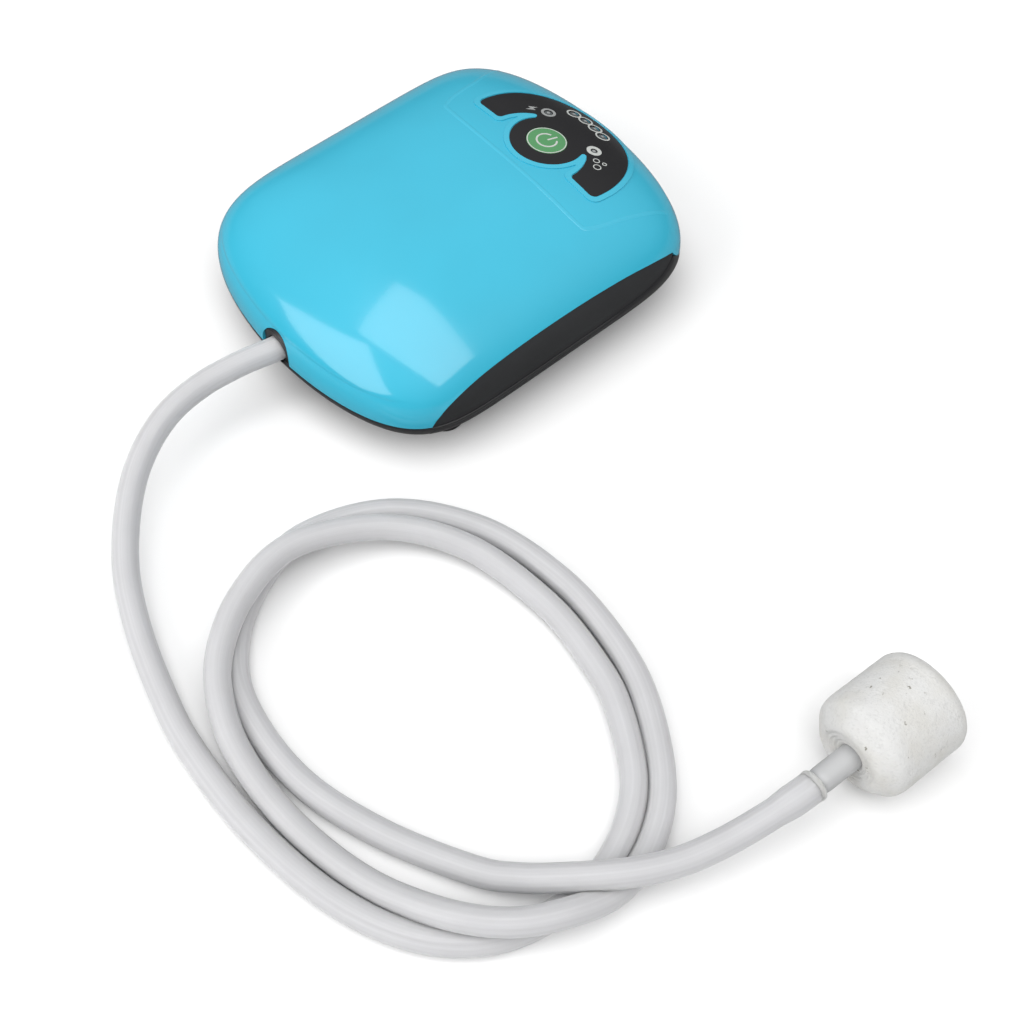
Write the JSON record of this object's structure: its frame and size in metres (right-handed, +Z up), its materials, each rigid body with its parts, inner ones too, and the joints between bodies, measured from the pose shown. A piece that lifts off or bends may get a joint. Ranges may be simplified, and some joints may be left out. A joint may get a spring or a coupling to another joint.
{
  "type": "aquarium air pump",
  "caption": "Portable battery aquarium air pump with a domed casing, push-button panel, vibrating-arm bellows pump inside, air hose and air stone.",
  "frame": {"origin": "on the table under the middle of the casing", "axes": "+Z up, +Y along the casing toward the control panel end, +X across the casing toward the side seen in the picture"},
  "size_m": [0.2122, 0.1792, 0.0344],
  "materials": {
    "cover_plastic": "gloss",
    "shell_plastic": "satin",
    "panel_film": "gloss",
    "button_green": "satin",
    "clear_plastic": "clear",
    "board": "satin",
    "black_plastic": "matte",
    "white_plastic": "matte",
    "rubber": "matte",
    "steel": "brushed",
    "plated": "bright",
    "copper_wire": "enamelled",
    "cell_wrap": "gloss",
    "foam": "open foam",
    "wire_cover": "satin",
    "hose_vinyl": "milky, translucent",
    "stone": "fine mineral grain"
  },
  "bodies": {
    "casing": {"top_cover": "cover_plastic", "bottom_shell": "shell_plastic", "control_panel": "panel_film", "led_lenses": "clear_plastic", "circuit_board": "board", "tact_switch": "black_plastic", "board_leds": "white_plastic", "board_screws": "plated", "charge_board": "board", "usb_socket": "plated", "battery_cell": "cell_wrap", "battery_pad": "foam", "iron_core": "steel", "coil_bobbin": "white_plastic", "coil_winding": "copper_wire", "arm_mount": "black_plastic", "pivot_pin": "plated", "bellows": "rubber", "valve_head": "white_plastic", "valve_gasket": "rubber", "valve_box": "white_plastic", "intake_filter": "foam", "valve_screws": "plated", "outlet_nozzle": "white_plastic", "casing_screws": "plated", "rubber_feet": "rubber", "battery_wires": "wire_cover", "coil_wires": "black_plastic", "air_hose": "hose_vinyl", "stone_stem": "clear_plastic", "air_stone": "stone"},
    "button": {"power_button": "button_green"},
    "arm": {"swing_arm": "steel", "arm_magnets": "plated", "bellows_clamp": "plated"},
    "intake_valve": {"intake_flap": "rubber"},
    "exhaust_valve": {"exhaust_flap": "rubber"}
  },
  "joints": [
    {"name": "button_press", "type": "slide", "parent": "casing", "child": "button", "axis": [0, -0.2, -0.9798], "range_m": [0, 0.0004], "stiffness_N_per_m": 300},
    {"name": "arm_swing", "type": "hinge", "parent": "casing", "child": "arm", "pos_m": [0.025, -0.022, 0.0236], "axis": [0, 1, 0], "range_deg": [-1.5, 1.5], "stiffness_Nm_per_rad": 1, "deforming": ["bellows"]},
    {"name": "intake_lift", "type": "hinge", "parent": "casing", "child": "intake_valve", "pos_m": [0.001, -0.022, 0.0189], "axis": [0, -1, 0], "range_deg": [0, 8], "stiffness_Nm_per_rad": 0.00002},
    {"name": "exhaust_drop", "type": "hinge", "parent": "casing", "child": "exhaust_valve", "pos_m": [-0.0008, -0.022, 0.0165], "axis": [0, -1, 0], "range_deg": [0, 8], "stiffness_Nm_per_rad": 0.00002}
  ]
}
